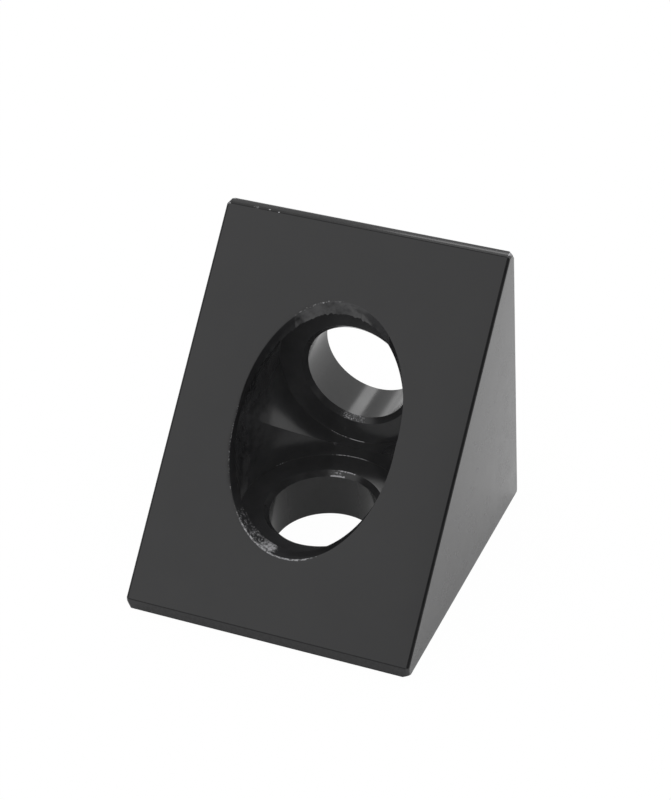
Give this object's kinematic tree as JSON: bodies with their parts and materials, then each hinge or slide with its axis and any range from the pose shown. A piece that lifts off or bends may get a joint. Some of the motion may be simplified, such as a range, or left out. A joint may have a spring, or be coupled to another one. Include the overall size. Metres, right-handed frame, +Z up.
{
  "type": "t slot corner bracket",
  "caption": "Solid wedge-shaped inside corner bracket for T slot framing, with a counterbored screw hole through each leg face, opening as one oval in the slope.",
  "frame": {"origin": "middle of the bottom leg face, where the bottom screw hole comes out", "axes": "+Z up, square to the bottom leg face and along the bottom screw hole; +Y out of the back leg face, along the back screw hole; X across the width"},
  "size_m": [0.02, 0.02, 0.02],
  "materials": {
    "black_anodised": "black anodised aluminium, satin, with milled faces and bored walls"
  },
  "bodies": {
    "root": {"corner_bracket": "black_anodised"}
  },
  "joints": []
}
